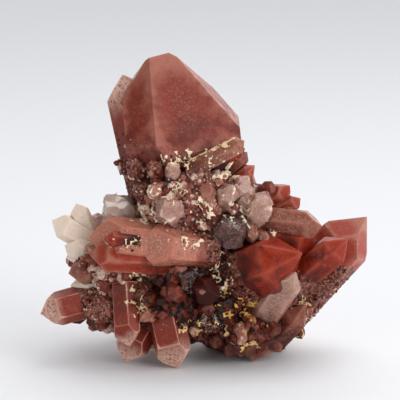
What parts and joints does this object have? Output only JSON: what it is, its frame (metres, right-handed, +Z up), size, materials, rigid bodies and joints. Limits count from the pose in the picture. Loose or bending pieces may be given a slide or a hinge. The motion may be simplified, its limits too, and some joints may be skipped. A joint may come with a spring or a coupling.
{
  "type": "quartz crystal cluster",
  "caption": "Natural cluster of red, iron-stained quartz crystals on a rough matrix, a large pointed crystal rising above the smaller ones; stands on its broken base for display.",
  "frame": {"origin": "a point on the flat broken base, on the surface that the cluster stands on", "axes": "+Z up, -Y towards the viewer of the picture, +X to the viewer's right"},
  "size_m": [0.1092, 0.0587, 0.1015],
  "materials": {
    "red_quartz": "natural crystal faces, glassy to satin, cloudy red inside"
  },
  "bodies": {
    "root": {"hematoid_quartz_cluster": "red_quartz"}
  },
  "joints": []
}
